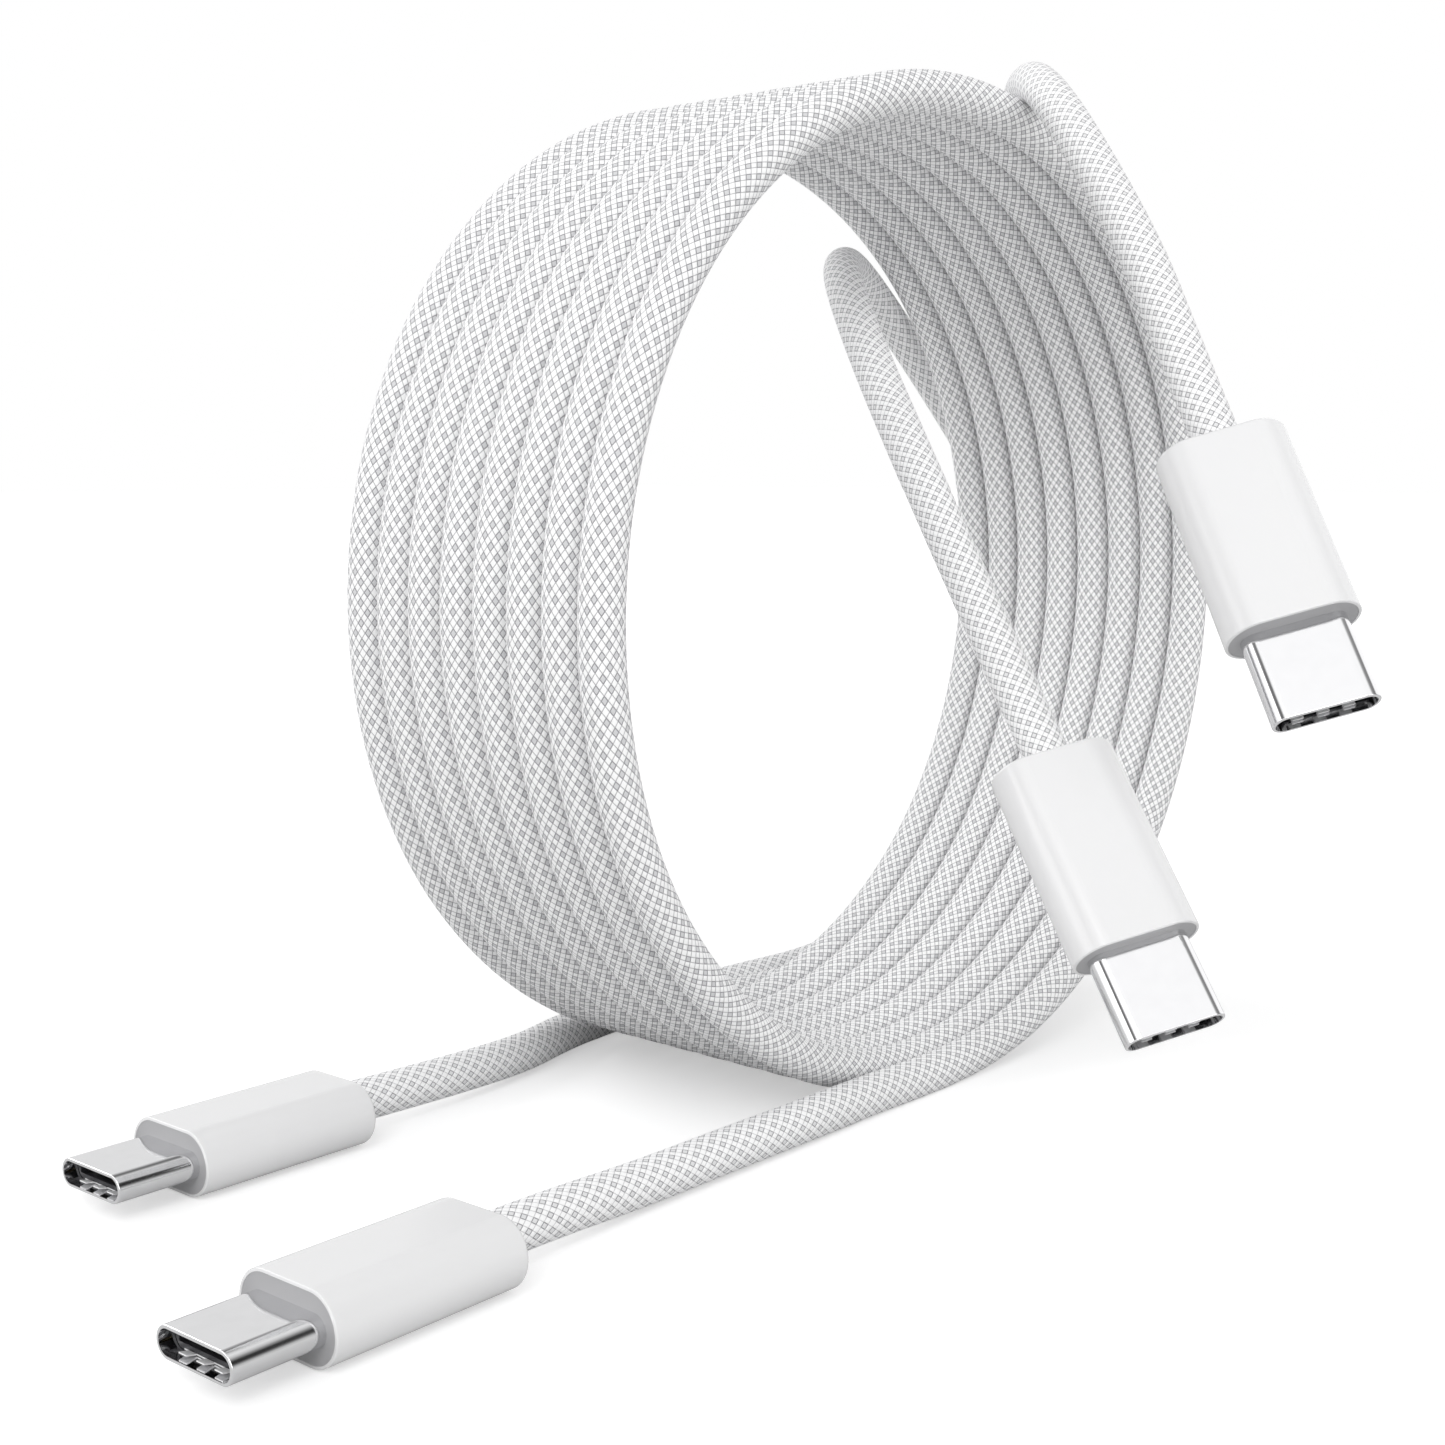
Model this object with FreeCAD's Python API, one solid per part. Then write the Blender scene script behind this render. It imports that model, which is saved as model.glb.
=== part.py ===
import FreeCAD
import Part
import math
import os

# Two braided charging cables with a slim moulded plug at each end.
# The long cable stands on edge as a ring of eight turns, with one plug lying on the
# floor in front of it and the other hanging from an arch over its top.
# The short cable lies beside the ring, rises behind it and comes down through it.
# Millimetres, Z up, floor at Z = 0, Y along the axis of the ring, origin under its middle.

V = FreeCAD.Vector

# Cord and ring of turns
cord_diameter = 3.65
cord_flat = 0.5
ring_radius = 45.8
turn_pitch = 4.1
turn_count = 8
cord_radius = cord_diameter / 2
low_height = cord_radius - cord_flat
ring_height = low_height + ring_radius
first_slot = -turn_pitch * turn_count / 2
last_slot = turn_pitch * turn_count / 2

# Plug, sized outwards from the standard metal shell
fit_gap = 0.05
shell_width = 8.25
shell_thickness = 2.40
shell_wall = 0.25
shell_front = 7.4
shell_rear = -5.0
shell_lip = 0.08
mould_side_wall = 0.27
mould_face_wall = 0.70
housing_wall = 0.85
housing_length = 17.6
housing_rear_wall = 1.0
housing_rear_round = 0.4
housing_rim_round = 0.10
rim_wall = 0.25
rim_depth = 1.1
front_plate_thickness = 1.05
mould_rear = -12.2
pocket_side_step = 0.275
pocket_face_step = 0.1
cord_hole_gap = 0.1

# Parts inside the metal shell
insulator_rear = -4.0
insulator_front = 6.1
slot_side_wall = 0.375
slot_half_height = 0.45
slot_floor = 0.2
contact_count = 12
contact_row_margin = 0.70
contact_thickness = 0.12
contact_channel_gap = 0.03
contact_channel_front = 4.8
contact_tail_length = 1.2
contact_beam_lift = 0.05
contact_tip_reach = 0.17
contact_channel_reach = 0.12
latch_channel_reach = 0.15
latch_channel_half_height = 0.36
latch_half_height = 0.30
latch_gap = 0.08
latch_thickness = 0.15
latch_hook_reach = 0.29
latch_rear = -4.8
latch_front = 5.0
latch_front_gap = 0.6
spring_recess_depth = 0.10
spring_rear = 5.0
spring_thickness = 0.10
spring_tip = 6.9
spring_tab_drop = 0.18

# Circuit card, chip, wires and crimp sleeve behind them
card_side_gap = 0.18
card_thickness = 0.7
card_rear = -10.6
chip_width = 1.6
chip_height = 0.5
chip_rear = -7.8
chip_front = -6.2
wire_diameter = 0.6
wire_pad = -8.7
wire_pitch = 1.6
wire_ring_radius = 0.9
sleeve_outer = 3.7
sleeve_bore = 3.1
sleeve_front = -13.0

# Sizes that follow from the ones above
shell_inner_width = shell_width - 2 * shell_wall
shell_inner_thickness = shell_thickness - 2 * shell_wall
mould_width = shell_width + 2 * mould_side_wall
mould_height = shell_thickness + 2 * mould_face_wall
cavity_width = mould_width + 2 * fit_gap
cavity_height = mould_height + 2 * fit_gap
housing_width = cavity_width + 2 * housing_wall
housing_height = cavity_height + 2 * housing_wall
plate_seat_width = housing_width - 2 * rim_wall
plate_seat_height = housing_height - 2 * rim_wall
insulator_width = shell_inner_width - 2 * fit_gap
insulator_height = shell_inner_thickness - 2 * fit_gap
pocket_width = shell_inner_width - 2 * pocket_side_step
pocket_height = shell_thickness - 2 * pocket_face_step
slot_half_width = insulator_width / 2 - slot_side_wall
contact_pitch = 2 * (slot_half_width - contact_row_margin) / (contact_count - 1)
contact_width = contact_pitch / 2
latch_channel_inner = slot_half_width - latch_channel_reach
latch_beam_inner = latch_channel_inner + latch_gap
latch_beam_outer = latch_beam_inner + latch_thickness
latch_hook_inner = slot_half_width - latch_hook_reach
latch_foot_inner = latch_beam_inner - card_side_gap
card_width = 2 * latch_foot_inner
card_face = card_thickness / 2
spring_recess_half_width = (insulator_width - insulator_height) / 2
spring_tab_pitch = spring_recess_half_width * 2 / 3
spring_tab_width = spring_tab_pitch * 0.44
housing_inside_rear = housing_rear_wall - housing_length
plug_axis_height = housing_height / 2

# Where the plugs are: centre of the front rim, direction of the nose, direction of the width
plug_places = {
    "long_floor": (
        V(-ring_radius - 33.25, first_slot - 3.25, plug_axis_height),
        V(-0.9995, -0.032, 0),
        V(0.032, -1, 0),
    ),
    "long_hanging": (
        V(-13.27, first_slot - 41.46, ring_height - 0.05),
        V(-0.299, -0.538, -0.788),
        V(0.607, -0.744, 0.278),
    ),
    "short_floor": (
        V(-ring_radius - 20.76, last_slot - 2.62, plug_axis_height),
        V(-1, -0.024, 0),
        V(0.024, -1, 0),
    ),
    "short_hanging": (
        V(-19.32, first_slot - 32.26, ring_height - 25.08),
        V(-0.244, -0.624, -0.743),
        V(0.755, -0.603, 0.258),
    ),
}

# Middle points of the free lengths of cord, between the straight ends at plug and ring.
# Those on the floor give a way back from the plug side of the ring, an offset across and a height.
# Those round the ring give an angle from its foot, a distance outwards from its turns and a
# place along its axis.
long_floor_route = [
    (1.8, -1.55, 2.0),
    (12.8, -1.15, 1.9),
    (24.8, -0.75, 1.85),
]
long_hanging_route = [
    (25.1, 4.72, 14.05),
    (36.3, 6.95, 11.15),
    (57.2, 7.15, 7.5),
    (80.1, 6.0, 6.95),
    (102.1, 5.5, 4.95),
    (124.1, 5.7, 1.45),
    (145.1, 5.5, -3.15),
    (160.1, 7.6, -12.35),
    (172.9, 2.0, -22.35),
    (-178.0, -14.1, -36.25),
]
short_route = [
    (-35.3, 9.6, 15.3),
    (-27.0, 5.2, 16.4),
    (-18.1, 2.4, 19.95),
    (-5.0, 0.2, 20.5),
    (12.9, 1.2, 20.65),
    (28.3, 5.8, 18.6),
    (40.5, 9.1, 16.35),
    (54.3, 11.6, 17.4),
    (72.1, 13.1, 18.6),
    (87.0, 13.3, 18.3),
    (99.9, 11.4, 17.3),
    (117.5, 3.9, 18.55),
    (144.0, -3.4, 14.75),
    (166.6, -12.1, 3.75),
    (-170.9, -22.4, -9.25),
    (-140.1, -30.2, -20.05),
]
floor_end_run = 8.4
hanging_end_run = 11.4
short_end_run = 12.0
ring_end_run = cord_diameter


# Small building helpers
def box(x0, x1, y0, y1, z0, z1):
    return Part.makeBox(x1 - x0, y1 - y0, z1 - z0, V(x0, y0, z0))


def stadium(width, height, z0, z1):
    radius = height / 2
    reach = width / 2 - radius
    p = [V(-reach, -radius, z0), V(reach, -radius, z0), V(reach, radius, z0), V(-reach, radius, z0)]
    right = Part.Arc(p[1], V(width / 2, 0, z0), p[2]).toShape()
    left = Part.Arc(p[3], V(-width / 2, 0, z0), p[0]).toShape()
    bottom = Part.makeLine(p[0], p[1])
    top = Part.makeLine(p[2], p[3])
    face = Part.Face(Part.Wire([bottom, right, top, left]))
    return face.extrude(V(0, 0, z1 - z0))


def profile_in_yz(outline, x0, x1):
    corners = [V(x0, y, z) for z, y in outline]
    face = Part.Face(Part.makePolygon(corners + corners[:1]))
    return face.extrude(V(x1 - x0, 0, 0))


def profile_in_xz(outline, y0, y1):
    corners = [V(x, y0, z) for z, x in outline]
    face = Part.Face(Part.makePolygon(corners + corners[:1]))
    return face.extrude(V(0, y1 - y0, 0))


def other_side(shape):
    return shape.mirror(V(0, 0, 0), V(0, 1, 0))


def other_edge(shape):
    return shape.mirror(V(0, 0, 0), V(1, 0, 0))


# Places in the two kinds of route
def on_floor(way, across, height):
    return V(way - ring_radius, first_slot + across, height)


def round_ring(angle, outwards, along):
    reach = ring_radius + outwards
    x = reach * math.sin(math.radians(angle))
    z = ring_height - reach * math.cos(math.radians(angle))
    return V(x, along, max(z, low_height))


# Tube along straight runs joined by tangent arcs
def run_and_arc_edges(points):
    edges = []
    radii = []
    place = points[0]
    for i in range(1, len(points) - 1):
        before = points[i] - points[i - 1]
        after = points[i + 1] - points[i]
        cut = 0.45 * min(before.Length, after.Length)
        before.normalize()
        after.normalize()
        half_turn = before.getAngle(after) / 2
        radius = cut / math.tan(half_turn)
        inward = after - before
        inward.normalize()
        start = points[i] - before * cut
        middle = points[i] + inward * (radius / math.cos(half_turn) - radius)
        end = points[i] + after * cut
        edges.append(Part.makeLine(place, start))
        edges.append(Part.Arc(start, middle, end).toShape())
        radii.append(radius)
        place = end
    edges.append(Part.makeLine(place, points[-1]))
    return edges, radii


def sweep(edges, diameter):
    path = Part.Wire(edges)
    start = path.Edges[0].valueAt(path.Edges[0].FirstParameter)
    along = path.Edges[0].tangentAt(path.Edges[0].FirstParameter)
    ring = Part.Wire([Part.makeCircle(diameter / 2, start, along)])
    return path.makePipeShell([ring], True, False), path


def samples(path, step):
    found = []
    for edge in path.Edges:
        found.extend(edge.discretize(max(2, int(edge.Length / step) + 1)))
    return found


def least_distance(first, second):
    return min((a - b).Length for a in first for b in second)


# Ring of turns: three flat quarters and one quarter that steps over by a pitch
def biarc(start, start_way, end, end_way):
    across = end - start
    sum_way = start_way + end_way
    spread = 2 * (1 - start_way.dot(end_way))
    reach = across.dot(sum_way)
    depth = (math.sqrt(reach * reach + spread * across.dot(across)) - reach) / spread
    near = start + start_way * depth
    far = end - end_way * depth
    joint = (near + far) * 0.5
    halves = []
    for place, corner, target in ((start, near, joint), (joint, far, end)):
        chord_middle = (place + target) * 0.5
        inward = chord_middle - corner
        half_angle = math.atan2((target - place).Length / 2, inward.Length)
        radius = (corner - place).Length * math.tan(half_angle)
        slack = radius / math.sin(half_angle) - radius
        inward.normalize()
        halves.append(Part.Arc(place, corner + inward * slack, target).toShape())
    return halves


def ring_edges():
    low = V(0, first_slot, low_height)
    edges = [Part.makeLine(low - V(ring_end_run, 0, 0), low)]
    diagonal = ring_radius * math.sqrt(0.5)
    for turn in range(turn_count):
        y = first_slot + turn * turn_pitch
        centre = V(0, y, ring_height)
        bottom = centre - V(0, 0, ring_radius)
        right = centre + V(ring_radius, 0, 0)
        top = centre + V(0, 0, ring_radius)
        left = centre - V(ring_radius, 0, 0)
        edges.append(Part.Arc(bottom, centre + V(diagonal, 0, -diagonal), right).toShape())
        edges.append(Part.Arc(right, centre + V(diagonal, 0, diagonal), top).toShape())
        edges.append(Part.Arc(top, centre + V(-diagonal, 0, diagonal), left).toShape())
        edges.extend(biarc(left, V(0, 0, -1), bottom + V(0, turn_pitch, 0), V(1, 0, 0)))
    low = V(0, last_slot, low_height)
    edges.append(Part.makeLine(low, low + V(ring_end_run, 0, 0)))
    return edges


def least_gap_to_itself(path, diameter):
    spots = samples(path, 2.0)
    least = 1e9
    skip = int(0.7 * len(spots) / turn_count)
    reach = int(1.4 * len(spots) / turn_count)
    for i, spot in enumerate(spots):
        for other in spots[i + skip:i + reach]:
            least = min(least, (spot - other).Length)
    return least - diameter


# Plug pieces, all made with the nose along Z and the front rim at Z = 0
def make_housing():
    body = stadium(housing_width, housing_height, -housing_length, 0)
    rear_edges = [e for e in body.Edges if abs(e.BoundBox.ZMax + housing_length) < 0.01]
    body = body.makeFillet(housing_rear_round, rear_edges)
    front_edges = [e for e in body.Edges if e.BoundBox.ZMin > -0.01]
    body = body.makeFillet(housing_rim_round, front_edges)
    cavity = stadium(cavity_width, cavity_height, housing_inside_rear, -rim_depth)
    seat = stadium(plate_seat_width, plate_seat_height, -rim_depth, 1)
    hole_radius = cord_radius + cord_hole_gap
    hole = Part.makeCylinder(hole_radius, housing_rear_wall + 2, V(0, 0, -housing_length - 1))
    return body.cut(cavity).cut(seat).cut(hole)


def make_front_plate():
    rear = -rim_depth
    front = rear + front_plate_thickness
    plate = stadium(plate_seat_width, plate_seat_height, rear, front)
    hole = stadium(shell_width, shell_thickness, rear - 1, 1)
    return plate.cut(hole)


def make_shell():
    tube = stadium(shell_width, shell_thickness, shell_rear, shell_front)
    mouth_edges = [e for e in tube.Edges if e.BoundBox.ZMin > shell_front - 0.01]
    tube = tube.makeFillet(shell_lip, mouth_edges)
    bore = stadium(shell_inner_width, shell_inner_thickness, shell_rear - 1, shell_front + 1)
    return tube.cut(bore)


def contact_positions():
    first = -contact_pitch * (contact_count - 1) / 2
    return [first + contact_pitch * i for i in range(contact_count)]


def make_insulator():
    body = stadium(insulator_width, insulator_height, insulator_rear, insulator_front)
    slot = box(
        -slot_half_width,
        slot_half_width,
        -slot_half_height,
        slot_half_height,
        slot_floor,
        insulator_front + 1,
    )
    body = body.cut(slot)
    half = contact_width / 2 + contact_channel_gap
    outer = insulator_height / 2 - contact_thickness
    inner = slot_half_height - contact_channel_reach
    channels = []
    for x in contact_positions():
        channel = box(x - half, x + half, inner, outer, insulator_rear - 1, contact_channel_front)
        channels.append(channel)
        channels.append(other_side(channel))
    side = box(
        latch_channel_inner,
        insulator_width,
        -latch_channel_half_height,
        latch_channel_half_height,
        insulator_rear - 1,
        latch_front + latch_front_gap,
    )
    recess = box(
        -spring_recess_half_width,
        spring_recess_half_width,
        insulator_height / 2 - spring_recess_depth,
        insulator_height,
        spring_rear,
        insulator_front + 1,
    )
    return body.cut(channels + [side, other_edge(side), recess, other_side(recess)])


def make_upper_contacts():
    t = contact_thickness
    tail = insulator_rear - contact_tail_length
    root = insulator_rear
    nose = contact_channel_front
    beam = slot_half_height + contact_beam_lift
    tip = slot_half_height - contact_tip_reach
    outline = [
        (tail, card_face),
        (root, card_face),
        (root + 0.6, beam),
        (nose - 1.4, beam),
        (nose - 0.8, tip),
        (nose - 0.45, tip),
        (nose - 0.2, tip + 0.08),
        (nose - 0.2, tip + 0.08 + t),
        (nose - 0.5, tip + t),
        (nose - 0.73, tip + t),
        (nose - 1.3, beam + t),
        (root + 0.5, beam + t),
        (root - 0.1, card_face + t),
        (tail, card_face + t),
    ]
    half = contact_width / 2
    return [profile_in_yz(outline, x - half, x + half) for x in contact_positions()]


def make_right_latch():
    outline = [
        (latch_rear, latch_foot_inner),
        (latch_rear + 0.5, latch_foot_inner),
        (latch_rear + 0.7, latch_beam_inner),
        (latch_front - 0.9, latch_beam_inner),
        (latch_front - 0.55, latch_hook_inner),
        (latch_front - 0.3, latch_hook_inner),
        (latch_front, latch_beam_inner - 0.05),
        (latch_front, latch_beam_outer),
        (latch_rear, latch_beam_outer),
    ]
    return [profile_in_xz(outline, -latch_half_height, latch_half_height)]


def make_upper_ground_spring():
    top = insulator_height / 2
    under = top - spring_thickness
    plate = box(
        -spring_recess_half_width + fit_gap,
        spring_recess_half_width - fit_gap,
        under,
        top,
        spring_rear + fit_gap,
        insulator_front,
    )
    outline = [
        (insulator_front - 0.1, under),
        (insulator_front, under),
        (spring_tip, under - spring_tab_drop),
        (spring_tip, top - spring_tab_drop),
        (insulator_front, top),
        (insulator_front - 0.1, top),
    ]
    half = spring_tab_width / 2
    tabs = []
    for step in (-1, 0, 1):
        x = step * spring_tab_pitch
        tabs.append(profile_in_yz(outline, x - half, x + half))
    return plate.fuse(tabs).removeSplitter()


def make_card():
    return box(
        -card_width / 2,
        card_width / 2,
        -card_face,
        card_face,
        card_rear,
        insulator_rear,
    )


def make_chip():
    half = chip_width / 2
    return box(-half, half, card_face, card_face + chip_height, chip_rear, chip_front)


def make_inner_mould():
    body = stadium(mould_width, mould_height, mould_rear, -rim_depth)
    bore = stadium(shell_width, shell_thickness, shell_rear, 1)
    half_x = pocket_width / 2
    half_y = pocket_height / 2
    pocket = box(-half_x, half_x, -half_y, half_y, mould_rear - 1, shell_rear)
    return body.cut([bore, pocket])


def make_crimp_sleeve():
    length = sleeve_front - housing_inside_rear
    outer = Part.makeCylinder(sleeve_outer / 2, length, V(0, 0, housing_inside_rear))
    bore = Part.makeCylinder(sleeve_bore / 2, length + 2, V(0, 0, housing_inside_rear - 1))
    return outer.cut(bore)


def make_wire_ends():
    wires = []
    side = card_face + wire_diameter / 2
    for up in (1, -1):
        for step in (-1, 0, 1):
            angle = math.radians(90 * up - 60 * up * step)
            x = wire_ring_radius * math.cos(angle)
            y = wire_ring_radius * math.sin(angle)
            points = [
                V(step * wire_pitch, up * side, wire_pad),
                V(step * wire_pitch, up * side, card_rear - 0.4),
                V(x, y, sleeve_front - 0.2),
                V(x, y, housing_inside_rear),
            ]
            edges, radii = run_and_arc_edges(points)
            wires.append(sweep(edges, wire_diameter)[0])
    return wires


# Placing pieces and writing them out
def plug_placement(name):
    rim, nose, width = plug_places[name]
    nose = V(nose.x, nose.y, nose.z)
    nose.normalize()
    thickness = nose.cross(width)
    thickness.normalize()
    width = thickness.cross(nose)
    turn = FreeCAD.Matrix(
        width.x, thickness.x, nose.x, rim.x,
        width.y, thickness.y, nose.y, rim.y,
        width.z, thickness.z, nose.z, rim.z,
        0, 0, 0, 1,
    )
    return FreeCAD.Placement(turn)


def along_plug(name, z):
    return plug_placement(name).multVec(V(0, 0, z))


def write(name, solids, placement=None):
    placed = []
    for solid in solids:
        copy = solid.copy()
        if placement is not None:
            copy.Placement = placement.multiply(copy.Placement)
        placed.append(copy)
    shape = placed[0] if len(placed) == 1 else Part.makeCompound(placed)
    shape.exportStep("parts/" + name + ".step")
    valid = all(solid.isValid() for solid in placed)
    volume = sum(solid.Volume for solid in placed)
    print(name, "solids", len(placed), "valid", valid, "volume", round(volume, 3))


def lift_off_floor(shape):
    below = box(-200, 200, -200, 200, -20, 0)
    pieces = shape.cut(below).Solids
    return max(pieces, key=lambda piece: piece.Volume)


def make_free_cord(name, points):
    edges, radii = run_and_arc_edges(points)
    tube, path = sweep(edges, cord_diameter)
    exact = math.pi * cord_radius ** 2 * path.Length
    print(name, "length", round(path.Length, 1), "least bend radius", round(min(radii), 1))
    print(name, "volume against section times length", round(tube.Volume / exact, 4))
    return lift_off_floor(tube), path


os.makedirs("parts", exist_ok=True)

# The four plugs
upper_contacts = make_upper_contacts()
right_latch = make_right_latch()
upper_ground_spring = make_upper_ground_spring()
plug_pieces = {
    "housing": [make_housing()],
    "front_plate": [make_front_plate()],
    "shell": [make_shell()],
    "insulator": [make_insulator()],
    "upper_contacts": upper_contacts,
    "lower_contacts": [other_side(piece) for piece in upper_contacts],
    "left_latch": [other_edge(piece) for piece in right_latch],
    "right_latch": right_latch,
    "ground_springs": [upper_ground_spring, other_side(upper_ground_spring)],
    "card": [make_card()],
    "inner_mould": [make_inner_mould()],
    "crimp_sleeve": [make_crimp_sleeve()],
    "wire_ends": make_wire_ends(),
}
for plug in plug_places:
    for piece, solids in plug_pieces.items():
        write(plug + "_" + piece, solids, plug_placement(plug))
    if plug.endswith("floor"):
        write(plug + "_marker_chip", [make_chip()], plug_placement(plug))

# The ring of turns
ring_tube, ring_path = sweep(ring_edges(), cord_diameter)
ring_exact = math.pi * cord_radius ** 2 * ring_path.Length
print("ring length", round(ring_path.Length, 1), "volume ratio", round(ring_tube.Volume / ring_exact, 4))
print("ring least gap to itself", round(least_gap_to_itself(ring_path, cord_diameter), 3))
write("long_cable_coil", [lift_off_floor(ring_tube)])

# The free lengths of cord
ring_start = V(-ring_end_run, first_slot, low_height)
ring_end = V(ring_end_run, last_slot, low_height)
end_run = V(floor_end_run, 0, 0)
routes = {
    "long_cable_floor_lead": (
        [along_plug("long_floor", housing_inside_rear)]
        + [along_plug("long_floor", housing_inside_rear - floor_end_run)]
        + [on_floor(*p) for p in long_floor_route]
        + [ring_start - end_run, ring_start]
    ),
    "long_cable_hanging_lead": (
        [ring_end, ring_end + end_run]
        + [round_ring(*p) for p in long_hanging_route]
        + [along_plug("long_hanging", housing_inside_rear - hanging_end_run)]
        + [along_plug("long_hanging", housing_inside_rear)]
    ),
    "short_cable": (
        [along_plug("short_floor", housing_inside_rear)]
        + [along_plug("short_floor", housing_inside_rear - floor_end_run)]
        + [round_ring(*p) for p in short_route]
        + [along_plug("short_hanging", housing_inside_rear - short_end_run)]
        + [along_plug("short_hanging", housing_inside_rear)]
    ),
}
ring_spots = samples(ring_path, 2.0)
cord_spots = {}
for name, points in routes.items():
    solid, path = make_free_cord(name, points)
    write(name, [solid])
    cord_spots[name] = samples(path, 2.0)
    away = []
    for spot in cord_spots[name]:
        if min((spot - ring_start).Length, (spot - ring_end).Length) > 2.5 * cord_diameter:
            away.append(spot)
    gap = least_distance(away, ring_spots) - cord_diameter
    print(name, "least gap to the ring", round(gap, 2))
gap = least_distance(cord_spots["short_cable"], cord_spots["long_cable_hanging_lead"])
print("least gap between the two cords", round(gap - cord_diameter, 2))
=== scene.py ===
import math
import bpy
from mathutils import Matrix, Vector


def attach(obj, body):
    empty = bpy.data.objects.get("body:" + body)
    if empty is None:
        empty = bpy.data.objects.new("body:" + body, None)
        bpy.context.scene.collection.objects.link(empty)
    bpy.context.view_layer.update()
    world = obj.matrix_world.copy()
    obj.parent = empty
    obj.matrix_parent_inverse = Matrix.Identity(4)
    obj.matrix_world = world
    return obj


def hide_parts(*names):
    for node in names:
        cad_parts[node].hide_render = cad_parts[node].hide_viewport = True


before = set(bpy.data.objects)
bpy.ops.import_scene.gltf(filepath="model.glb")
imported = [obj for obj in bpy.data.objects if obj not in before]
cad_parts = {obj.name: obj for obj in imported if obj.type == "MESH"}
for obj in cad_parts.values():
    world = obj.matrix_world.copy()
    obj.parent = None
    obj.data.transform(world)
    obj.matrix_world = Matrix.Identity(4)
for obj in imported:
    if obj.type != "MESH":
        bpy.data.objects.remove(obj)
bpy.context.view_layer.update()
scene = bpy.context.scene
MM = 0.001

# Cord and ring of turns in millimetres, as in the part
CORD_DIAMETER = 3.82
RING_RADIUS = 45.8
RING_HEIGHT = 47.2
TURNS = 8
TURN_PITCH = 4.1
POINTS_PER_TURN = 24
# Share of a turn after which a strand shifts sideways, and how far it lifts there
SHIFT_START = 0.75
SHIFT_LIFT = 1.15
FOOT_HEIGHT = 1.2

# Meshes of the cords: points around, length of a step and least height over the floor
AROUND = 32
MESH_STEP = 0.85
PATH_STEP = 2.0
FLOOR_CLEARANCE = 0.03

# Braid: ribbons round the cord, and the length of one repeat in millimetres
RIBBONS = 10
COIL_REPEAT = 1.69
LEAD_REPEAT = 1.24
FLOOR_LEAD_REPEAT = 1.60
ARCH_REPEAT = 2.2

# Camera at the photograph's angle
CAMERA_PLACE = (-154.85, -127.20, 59.46)
CAMERA_TILT = 90 - 7.29
CAMERA_HEADING = -47.993
camera_data = bpy.data.cameras.new("camera")
camera_data.lens = 50
camera_data.sensor_width = 36
camera_data.clip_start = 0.01
camera_data.clip_end = 10
camera = bpy.data.objects.new("camera", camera_data)
scene.collection.objects.link(camera)
camera.location = Vector(CAMERA_PLACE) * MM
camera.rotation_euler = (math.radians(CAMERA_TILT), 0, math.radians(CAMERA_HEADING))
scene.camera = camera

# Plug places: middle of the front rim, and the direction of the nose
plugs = {
    "long_floor": ((-79.05, -19.65, 2.8), (-0.9995, -0.032, 0)),
    "long_hanging": ((-13.27, -57.86, 47.07), (-0.299, -0.538, -0.788)),
    "short_floor": ((-66.56, 13.78, 2.8), (-1, -0.024, 0)),
    "short_hanging": ((-19.32, -48.66, 22.05), (-0.244, -0.624, -0.743)),
}
# Where a cord ends inside its housing, behind the front rim
CORD_END = -16.6


def along_plug(name, place):
    rim, nose = plugs[name]
    return tuple(Vector(rim) + Vector(nose).normalized() * place)


# Cord routes in millimetres: control points of one smooth line each
long_floor_route = [
    along_plug("long_floor", CORD_END),
    (-54, -18.55, 2.6),
    (-44, -17.85, 1.95),
    (-33, -17.55, 1.9),
    (-22, -17.25, 1.8),
    (-12, -16.55, 1.5),
]
long_hanging_route = [
    (12, 16.4, 1.35),
    (21.5, 14.05, 1.45),
    (31.2, 11.15, 4.7),
    (44.5, 7.5, 18.5),
    (51, 6.95, 38.2),
    (50.2, 4.95, 57.9),
    (42.7, 1.45, 76.0),
    (29.3, -3.15, 89.2),
    (17.4, -11.8, 97.2),
    (5.9, -22.35, 94.2),
    (-1.1, -36.25, 78.8),
    along_plug("long_hanging", -28.0),
    along_plug("long_hanging", CORD_END),
]
short_route = [
    along_plug("short_floor", CORD_END),
    (-42, 14.3, 2.65),
    (-33, 14.9, 2.35),
    (-25, 16.2, 2.0),
    (-18.5, 18.4, 1.9),
    (-12, 20.3, 1.6),
    (-4, 20.8, 1.4),
    (10.5, 20.7, 1.4),
    (24.4, 18.6, 1.75),
    (35.7, 16.4, 5.4),
    (46.6, 17.4, 13.6),
    (56.1, 18.6, 29.0),
    (59, 18.3, 44.0),
    (56.3, 17.3, 57.0),
    (44.1, 18.55, 70.1),
    (24.9, 14.75, 81.4),
    (7.8, 3.75, 79.9),
    (-3.7, -9.25, 70.2),
    (-10.0, -20.05, 59.1),
    along_plug("short_hanging", -28.6),
    along_plug("short_hanging", CORD_END),
]


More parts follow.
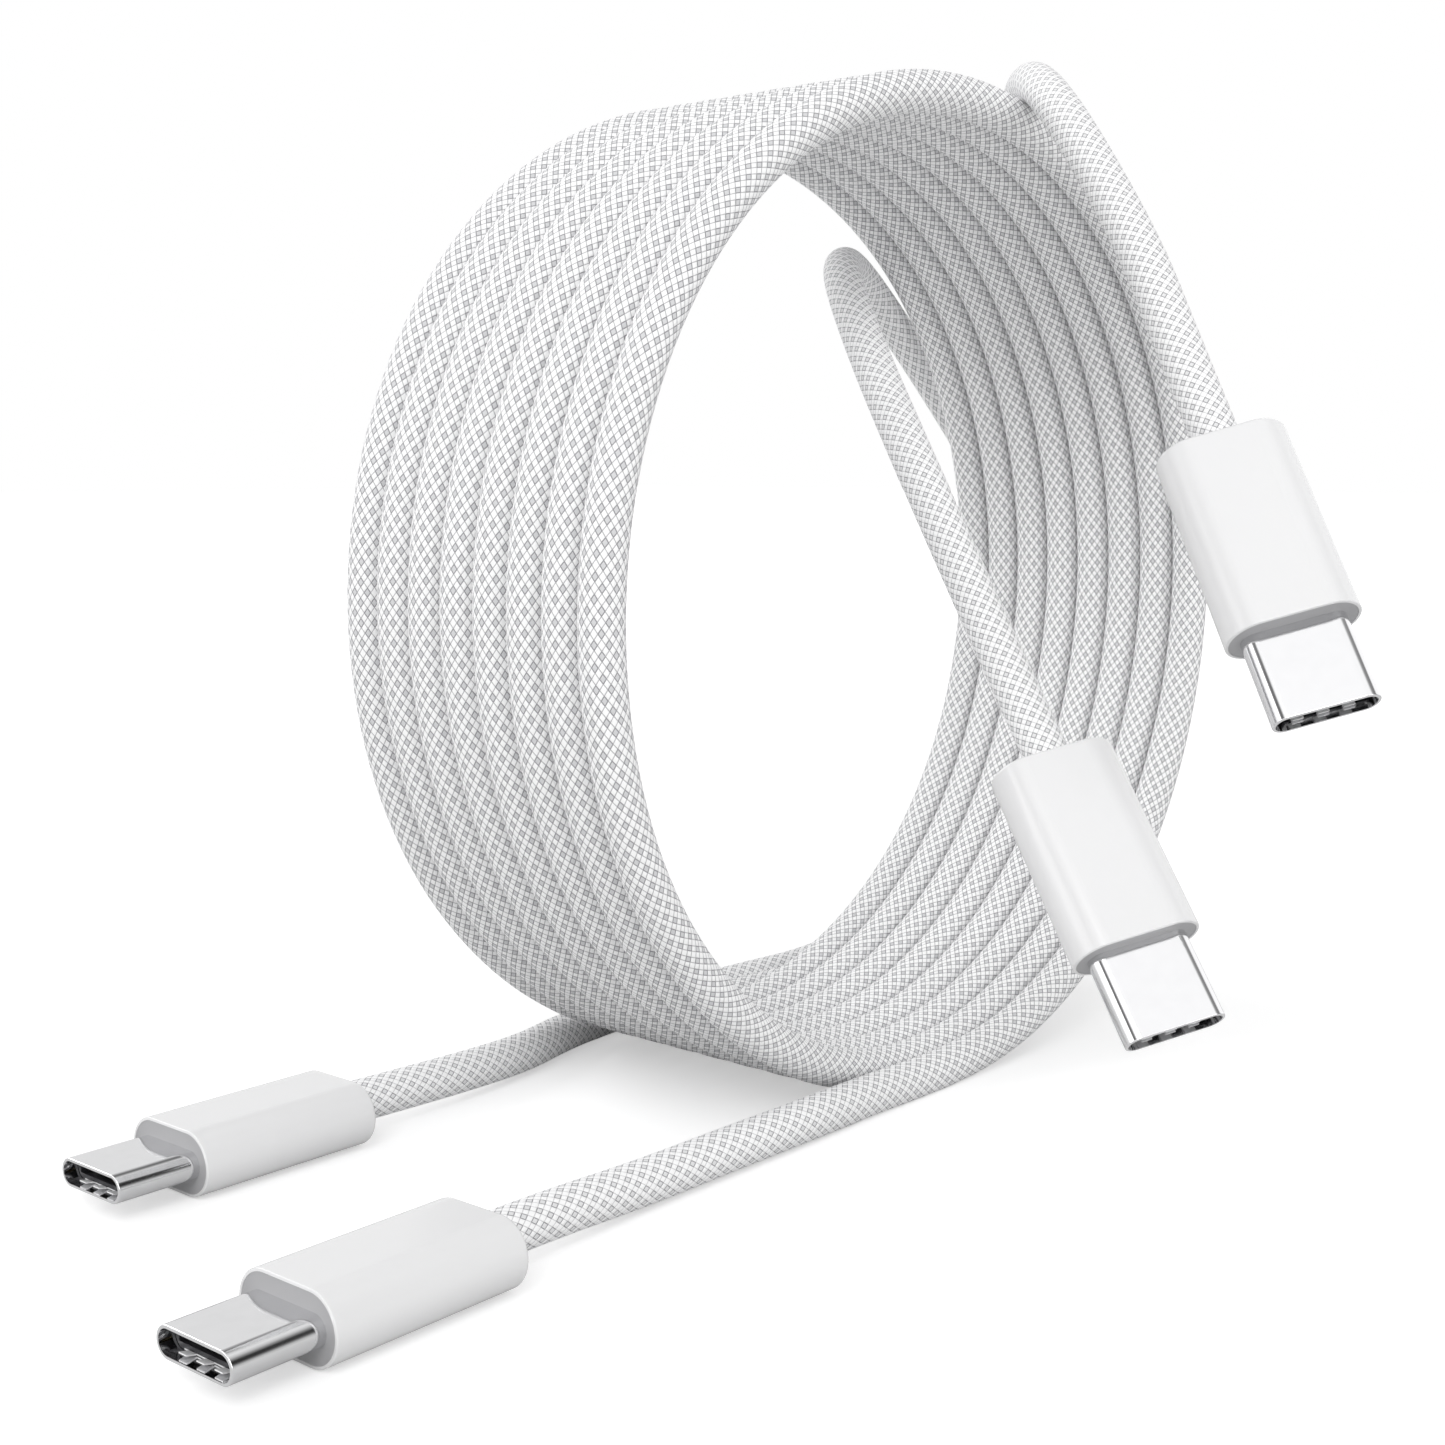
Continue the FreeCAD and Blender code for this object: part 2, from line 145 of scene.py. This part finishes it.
def ring_points():
    points = []
    # A smooth line runs inside its control points, so they stand a little farther out
    reach = RING_RADIUS / (0.5 + 0.5 * math.cos(math.pi / POINTS_PER_TURN) ** 2)
    for step in range(TURNS * POINTS_PER_TURN + 1):
        turn, part = divmod(step, POINTS_PER_TURN)
        angle = 2 * math.pi * part / POINTS_PER_TURN
        y = (turn - TURNS / 2) * TURN_PITCH
        lift = 0.0
        if part > SHIFT_START * POINTS_PER_TURN:
            share = (part / POINTS_PER_TURN - SHIFT_START) / (1 - SHIFT_START)
            y += TURN_PITCH * share * share * (3 - 2 * share)
            lift = SHIFT_LIFT * math.sin(math.pi * share ** 1.25) ** 2
        radius = reach - lift
        points.append((radius * math.sin(angle), y, RING_HEIGHT - radius * math.cos(angle)))
    for end in (0, -1):
        points[end] = (points[end][0], points[end][1], FOOT_HEIGHT)
    return points


long_route = long_floor_route + ring_points() + long_hanging_route


# Smooth line through a route's control points, read back as close points
def smooth_line(name, route):
    curve = bpy.data.curves.new(name, "CURVE")
    curve.dimensions = "3D"
    curve.resolution_u = 14
    spline = curve.splines.new("NURBS")
    spline.points.add(len(route) - 1)
    for point, place in zip(spline.points, route):
        point.co = (place[0] * MM, place[1] * MM, place[2] * MM, 1)
    spline.order_u = 3
    spline.use_endpoint_u = True
    carrier = bpy.data.objects.new(name, curve)
    scene.collection.objects.link(carrier)
    bpy.context.view_layer.update()
    line = bpy.data.meshes.new_from_object(carrier)
    points = [v.co.copy() for v in line.vertices]
    bpy.data.objects.remove(carrier)
    bpy.data.curves.remove(curve)
    bpy.data.meshes.remove(line)
    return points


# The same line as evenly spaced points, and its length
def even_line(points, step):
    lengths = [0.0]
    for a, b in zip(points, points[1:]):
        lengths.append(lengths[-1] + (b - a).length)
    count = max(2, round(lengths[-1] / step))
    out = []
    k = 0
    for i in range(count + 1):
        want = lengths[-1] * i / count
        while k < len(points) - 2 and lengths[k + 1] < want:
            k += 1
        share = (want - lengths[k]) / (lengths[k + 1] - lengths[k])
        out.append(points[k].lerp(points[k + 1], min(1.0, share)))
    return out, lengths[-1]


# Directions along a line, and across it without any twist
def carried_frames(points):
    last = len(points) - 1
    tangents = [
        (points[min(last, i + 1)] - points[max(0, i - 1)]).normalized()
        for i in range(last + 1)
    ]
    normal = tangents[0].orthogonal().normalized()
    normals = [normal]
    for before, tangent in zip(tangents, tangents[1:]):
        normal = before.rotation_difference(tangent) @ normal
        normal = (normal - tangent * normal.dot(tangent)).normalized()
        normals.append(normal)
    return tangents, normals


# Tube with a map that counts braid repeats along it and ribbons around it
def braided_tube(name, points, length, repeat_at, openness_and_light_at):
    count = len(points)
    step = length / (count - 1)
    verts = []
    for point, tangent, normal in zip(points, *carried_frames(points)):
        side = tangent.cross(normal)
        for j in range(AROUND):
            angle = 2 * math.pi * j / AROUND
            outward = normal * math.cos(angle) + side * math.sin(angle)
            spot = point + outward * (CORD_DIAMETER / 2 * MM)
            spot.z = max(spot.z, FLOOR_CLEARANCE * MM)
            verts.append(spot)
    phase = [0.0]
    for i in range(1, count):
        phase.append(phase[-1] + step / (repeat_at((i - 0.5) * step / MM) * MM))
    faces = []
    maps = []
    for i in range(count - 1):
        near = i * AROUND
        far = near + AROUND
        for j in range(AROUND):
            k = (j + 1) % AROUND
            faces.append((near + j, near + k, far + k, far + j))
            low = RIBBONS * j / AROUND
            high = RIBBONS * (j + 1) / AROUND
            maps.extend((
                (phase[i], low), (phase[i], high), (phase[i + 1], high), (phase[i + 1], low),
            ))
    mesh = bpy.data.meshes.new(name)
    mesh.from_pydata(verts, [], faces)
    layer = mesh.uv_layers.new(name="braid")
    for loop, place in zip(layer.data, maps):
        loop.uv = place
    # Share per point that is free lead: the weave is looser there, and the cells are painted
    # lighter for the stronger light on the leads
    openness_and_lead_light = mesh.attributes.new("openness_and_lead_light", "FLOAT", "POINT")
    shares = [openness_and_light_at(i * step / MM) for i in range(count) for j in range(AROUND)]
    openness_and_lead_light.data.foreach_set("value", shares)
    mesh.polygons.foreach_set("use_smooth", [True] * len(mesh.polygons))
    piece = bpy.data.objects.new(name, mesh)
    scene.collection.objects.link(piece)
    return piece


# Short ways to add nodes to one node tree
class Tree:
    def __init__(self, owner):
        owner.use_nodes = True
        self.nodes = owner.node_tree.nodes
        self.links = owner.node_tree.links

    def feed(self, socket, value):
        if isinstance(value, bpy.types.NodeSocket):
            self.links.new(value, socket)
        else:
            socket.default_value = value

    def node(self, kind, inputs=(), **settings):
        node = self.nodes.new("ShaderNode" + kind)
        for name, value in settings.items():
            setattr(node, name, value)
        for name, value in dict(inputs).items():
            self.feed(node.inputs[name], value)
        return node

    def math(self, operation, *values):
        return self.node("Math", enumerate(values), operation=operation).outputs[0]

    def band(self, value, low, high, smooth=True):
        inputs = {"Value": value, "From Min": low, "From Max": high}
        kind = "SMOOTHSTEP" if smooth else "LINEAR"
        return self.node("MapRange", inputs, interpolation_type=kind).outputs["Result"]

    def spread(self, value, low, high, start=0.0, end=1.0):
        inputs = {"Value": value, "From Min": start, "From Max": end,
                  "To Min": low, "To Max": high}
        return self.node("MapRange", inputs).outputs["Result"]

    def mix(self, factor, first, second):
        inputs = {0: factor, 6: first, 7: second}
        return self.node("Mix", inputs, data_type="RGBA").outputs[2]

    def noise(self, place, scale, detail):
        inputs = {"Vector": place, "Scale": scale, "Detail": detail}
        return self.node("TexNoise", inputs).outputs["Fac"]

    def bump(self, height, strength, distance):
        inputs = {"Height": height, "Strength": strength, "Distance": distance}
        return self.node("Bump", inputs).outputs[0]

    def split(self, place):
        return self.node("SeparateXYZ", {0: place}).outputs

    def seen(self, ray):
        return self.math("MAXIMUM", ray["Is Camera Ray"], ray["Is Transmission Ray"])


def new_material(name):
    material = bpy.data.materials.new(name)
    tree = Tree(material)
    return material, tree, tree.nodes["Principled BSDF"].inputs


# Braid: half widths and soft edges are in shares of one repeat
RIBBON_EDGE = 0.27
EDGE_SOFTNESS = 0.02
# Painted shadow lines along the ribbon edges, where one ribbon passes under another
EDGE_SHADOW_CORE = 0.020
EDGE_SHADOW_END = 0.060
EDGE_SHADOW_STRENGTH = 0.85
# How far ribbons cover the painted edge shadows that pass under them, and how much more when
# open
COVER = 0.27
OPEN_COVER = 0.25
THREADS = 11
RIBBON_LOW = (0.95, 0.95, 0.955, 1)
RIBBON_HIGH = (0.985, 0.985, 0.99, 1)
CELL_LOW = (0.55, 0.55, 0.565, 1)
CELL_HIGH = (0.77, 0.77, 0.785, 1)
# Cell colour on free leads: lighter partly for the looser weave, partly as painted light for
# the leads' stronger light
OPEN_LIT_CELL = (0.76, 0.76, 0.77, 1)
# Colour of the painted edge shadows
EDGE_SHADOW = (0.17, 0.17, 0.185, 1)


# White ribbons in two directions, with grey cells between them and painted shadow lines
# along the ribbon edges
def braid_material():
    material, tree, shader = new_material("white_braid")
    place = tree.node("UVMap", uv_map="braid").outputs[0]
    along, around = tree.split(place)[0:2]
    directions = (tree.math("ADD", around, along), tree.math("SUBTRACT", around, along))
    gaps = []
    edge_shadows = []
    crowns = []
    waves = []
    for value in directions:
        part = tree.math("FRACT", value)
        off = tree.math("ABSOLUTE", tree.math("SUBTRACT", part, 0.5))
        gaps.append(tree.band(off, RIBBON_EDGE - EDGE_SOFTNESS, RIBBON_EDGE + EDGE_SOFTNESS))
        # Painted shadow line along each ribbon edge
        away = tree.math("ABSOLUTE", tree.math("SUBTRACT", off, RIBBON_EDGE))
        edge_shadows.append(tree.math("SUBTRACT", 1.0, tree.band(away, EDGE_SHADOW_CORE, EDGE_SHADOW_END)))
        slope = tree.math("DIVIDE", off, RIBBON_EDGE)
        slope = tree.math("MULTIPLY", slope, slope)
        crowns.append(tree.math("MAXIMUM", tree.math("SUBTRACT", 1.0, slope), 0.0))
        waves.append(tree.math("SINE", tree.math("MULTIPLY", value, 2 * math.pi * THREADS)))
    openness_and_lead_light = tree.node("Attribute", attribute_name="openness_and_lead_light").outputs["Fac"]
    cover = tree.math("MULTIPLY_ADD", openness_and_lead_light, OPEN_COVER, COVER)
    bare = tree.math("SUBTRACT", 1.0, cover)
    covered_shadows = [
        tree.math("MULTIPLY", line, tree.math("MULTIPLY_ADD", gap, cover, bare))
        for line, gap in zip(edge_shadows, reversed(gaps))
    ]
    line = tree.math("MAXIMUM", *covered_shadows)
    grain = tree.noise(place, 9.0, 3.0)
    weave = tree.band(tree.math("MULTIPLY", *waves), -1.0, 1.0, smooth=False)
    # Cells on free leads turn lighter, for the looser weave and as painted light
    cell_shade = tree.mix(openness_and_lead_light, tree.mix(weave, CELL_LOW, CELL_HIGH), OPEN_LIT_CELL)
    ribbon = tree.mix(grain, RIBBON_LOW, RIBBON_HIGH)
    base = tree.mix(tree.math("MULTIPLY", *gaps), ribbon, cell_shade)
    # Lay the painted edge shadows over the ribbons and cells
    shadow_share = tree.math("MULTIPLY", line, EDGE_SHADOW_STRENGTH)
    tree.feed(shader["Base Color"], tree.mix(shadow_share, base, EDGE_SHADOW))
    shader["Roughness"].default_value = 0.72
    shader["Specular IOR Level"].default_value = 0.25
    shader["Sheen Weight"].default_value = 0.1
    shader["Sheen Roughness"].default_value = 0.5
    height = tree.math("MAXIMUM", *crowns)
    height = tree.math("SUBTRACT", height, tree.math("MULTIPLY", line, 0.35))
    height = tree.math("ADD", height, tree.math("MULTIPLY", grain, 0.12))
    tree.feed(shader["Normal"], tree.bump(height, 0.5, 0.00009))
    return material


braid = braid_material()


# One cord: braided tube in place of the hidden CAD cable parts; a coarse path is also worked
# out but left unused
def make_cord(name, route, repeat_at, openness_and_light_at, nodes_replaced):
    line = smooth_line(name + "_line", route)
    fine, length = even_line(line, MESH_STEP * MM)
    piece = braided_tube(name, fine, length, repeat_at, openness_and_light_at)
    piece.data.materials.append(braid)
    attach(piece, "cables")
    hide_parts(*nodes_replaced)
    coarse, length = even_line(line, PATH_STEP * MM)


# Smooth change from 0 to 1 over a stretch of a cord, in millimetres from its start
def ease(place, start, end):
    share = min(1.0, max(0.0, (place - start) / (end - start)))
    return share * share * (3 - 2 * share)


def blend(first, second, share):
    return first + (second - first) * share


# Each function below takes a place along its cord, in millimetres from the floor plug
def long_repeat(place):
    return blend(COIL_REPEAT, LEAD_REPEAT, ease(place, 2385, 2470))


# 1 on free leads and 0 on the coil; where it is 1 the cells go lighter, for the looser weave
# and as painted light
def long_openness_and_light(place):
    return 1.0 - ease(place, 40, 70) + ease(place, 2400, 2450)


def short_repeat(place):
    arch = blend(FLOOR_LEAD_REPEAT, ARCH_REPEAT, ease(place, 60, 160))
    return blend(arch, LEAD_REPEAT, ease(place, 208, 240))


def short_openness_and_light(place):
    return 1.0


make_cord(
    "long_cord", long_route, long_repeat, long_openness_and_light,
    ["long_cable_floor_lead", "long_cable_coil", "long_cable_hanging_lead"],
)
make_cord(
    "short_cord", short_route, short_repeat, short_openness_and_light,
    ["short_cable"],
)


# Materials of the plugs
def satin_plastic(name, colour, roughness):
    material, tree, shader = new_material(name)
    place = tree.node("TexCoord").outputs["Object"]
    dark = tuple(c * 0.985 for c in colour) + (1,)
    light = tuple(min(1.0, c * 1.01) for c in colour) + (1,)
    tree.feed(shader["Base Color"], tree.mix(tree.noise(place, 90.0, 4.0), dark, light))
    shader["Roughness"].default_value = roughness
    tree.feed(shader["Normal"], tree.bump(tree.noise(place, 6000.0, 2.0), 0.08, 0.00002))
    return material


def metal(name, colour, roughness, metallic=1.0):
    material, tree, shader = new_material(name)
    smear = tree.noise(tree.node("TexCoord").outputs["Object"], 700.0, 3.0)
    tree.feed(shader["Roughness"], tree.spread(smear, roughness * 0.8, roughness * 1.2))
    clean = tuple(colour) + (1,)
    worn = tuple(c * 0.93 for c in colour) + (1,)
    tree.feed(shader["Base Color"], tree.mix(smear, clean, worn))
    shader["Metallic"].default_value = metallic
    return material


gold = metal("contact_gold", (0.86, 0.69, 0.36), 0.22)
spring = metal("spring_steel", (0.66, 0.66, 0.68), 0.28)
finish = {
    "housing": satin_plastic("white_housing", (0.79, 0.79, 0.795), 0.22),
    "front_plate": satin_plastic("grey_plate", (0.40, 0.40, 0.41), 0.5),
    "shell": metal("polished_steel", (0.80, 0.80, 0.81), 0.10),
    "insulator": satin_plastic("dark_insulator", (0.028, 0.028, 0.032), 0.45),
    "upper_contacts": gold,
    "lower_contacts": gold,
    "left_latch": spring,
    "right_latch": spring,
    # Ground springs: near-white and nearly non-metallic, a painted brightness that stands in
    # for the glint of their steel
    "ground_springs": metal("spring_painted_bright", (0.97, 0.97, 0.975), 0.4, 0.15),
    "card": satin_plastic("card_green", (0.05, 0.27, 0.13), 0.3),
    "marker_chip": satin_plastic("chip_black", (0.03, 0.03, 0.03), 0.4),
    "inner_mould": satin_plastic("inner_mould", (0.80, 0.79, 0.75), 0.5),
    "crimp_sleeve": metal("crimp_brass", (0.78, 0.64, 0.36), 0.3),
    "wire_ends": satin_plastic("wire_insulation", (0.60, 0.10, 0.08), 0.4),
}
for name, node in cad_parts.items():
    for ending, material in finish.items():
        if name.endswith(ending):
            node.data.materials.clear()
            node.data.materials.append(material)

# Floor just below the object: grey in the light, with a glow that only the camera sees
FLOOR_HALF = 4
FLOOR_DROP = 0.0001
GLOW_NEAR = 0.12
GLOW_FAR = 0.7
floor_mesh = bpy.data.meshes.new("floor")
corners = [(-1, -1), (1, -1), (1, 1), (-1, 1)]
floor_mesh.from_pydata([(x * FLOOR_HALF, y * FLOOR_HALF, 0) for x, y in corners], [],
                       [(0, 1, 2, 3)])
floor = bpy.data.objects.new("floor", floor_mesh)
scene.collection.objects.link(floor)
floor.location.z = -FLOOR_DROP
floor_material, tree, shader = new_material("pale_floor")
shader["Base Color"].default_value = (0.7, 0.7, 0.7, 1)
shader["Roughness"].default_value = 0.9
shader["Specular IOR Level"].default_value = 0.0
place = tree.node("NewGeometry").outputs["Position"]
distance = tree.node("VectorMath", {0: place}, operation="LENGTH").outputs["Value"]
fill = tree.spread(distance, 0.45, 0.75, GLOW_NEAR, GLOW_FAR)
seen = tree.seen(tree.node("LightPath").outputs)
glow = tree.node("Emission", {"Color": (1, 1, 1, 1),
                              "Strength": tree.math("MULTIPLY", seen, fill)})
lit = tree.nodes["Principled BSDF"].outputs[0]
both = tree.node("AddShader", {0: lit, 1: glow.outputs[0]})
tree.feed(tree.nodes["Material Output"].inputs["Surface"], both.outputs[0])
floor_mesh.materials.append(floor_material)

# World: soft light, white where the camera sees it
SOFT_LIGHT = 0.64
world = bpy.data.worlds.new("studio")
scene.world = world
tree = Tree(world)
backdrop = tree.nodes["Background"].inputs
backdrop["Color"].default_value = (1, 1, 1, 1)
ray = tree.node("LightPath").outputs
direction = tree.node("TexCoord").outputs["Generated"]
x, y, z = tree.split(direction)[0:3]

# What polished metal mirrors: bright and dark strips by the angle round the X axis
STRIP_TONES = (
    (0.0, 0.66), (0.5, 0.72), (0.58, 0.76), (0.62, 0.34), (0.66, 0.12), (0.69, 0.25),
    (0.725, 0.62), (0.765, 0.80), (0.81, 0.60), (0.85, 0.26), (0.885, 0.03), (0.92, 0.02),
    (0.945, 0.12), (0.975, 0.46), (1.0, 0.62),
)
STRIP_GAIN = 1.2
turn = tree.math("MULTIPLY_ADD", tree.math("ARCTAN2", z, y), 0.5 / math.pi, 0.5)
strips = tree.node("ValToRGB", {0: turn})
tones = strips.color_ramp.elements
while len(tones) < len(STRIP_TONES):
    tones.new(0.5)
for element, (spot, tone) in zip(tones, STRIP_TONES):
    element.position = spot
    element.color = (tone, tone, tone, 1)
striped = tree.math("MULTIPLY", strips.outputs[0], STRIP_GAIN)

# The strips stand on the right; elsewhere is a bright panel with one darker card
CARD_DIRECTION = (-0.788, 0.20, 0.58)
PANEL_TONE = 1.22
CARD_DROP = -1.05
near_side = tree.band(x, 0.02, 0.35)
far_side = tree.band(x, 0.58, 0.72)
share = tree.math("MULTIPLY", near_side, tree.math("SUBTRACT", 1.0, far_side))
toward_card = tree.node("VectorMath", {0: direction, 1: CARD_DIRECTION},
                        operation="DOT_PRODUCT").outputs["Value"]
card_shade = tree.band(toward_card, 0.955, 0.995)
panel = tree.math("MULTIPLY_ADD", card_shade, CARD_DROP, PANEL_TONE)
mirrored = tree.node("Mix", {0: share, 2: panel, 3: striped}).outputs[0]
soft = tree.math("MULTIPLY_ADD", tree.seen(ray), 1 - SOFT_LIGHT, SOFT_LIGHT)
extra = tree.math("SUBTRACT", mirrored, SOFT_LIGHT)
total = tree.math("MULTIPLY_ADD", ray["Is Glossy Ray"], extra, soft)
tree.feed(backdrop["Strength"], total)

# Lamps: square panels aimed at the middle of the ring, with their watts
LAMP_SIDE = 0.5
LAMP_TARGET = (0, 0, 0.045)
LAMPS = {
    "key": ((-0.70, -0.48, 0.74), 3.6),
    "rear": ((-0.22, 0.93, 0.59), 3.2),
    "front": ((-0.21, -1.01, 0.42), 2.0),
    "side": ((-0.93, 0.47, 0.40), 1.1),
}
for name, (place, power) in LAMPS.items():
    data = bpy.data.lights.new(name, "AREA")
    data.shape = "RECTANGLE"
    data.size = LAMP_SIDE
    data.size_y = LAMP_SIDE
    data.energy = power
    lamp = bpy.data.objects.new(name, data)
    scene.collection.objects.link(lamp)
    lamp.location = Vector(place)
    aim = Vector(LAMP_TARGET) - Vector(place)
    lamp.rotation_euler = aim.to_track_quat("-Z", "Y").to_euler()

scene.view_settings.view_transform = "Standard"
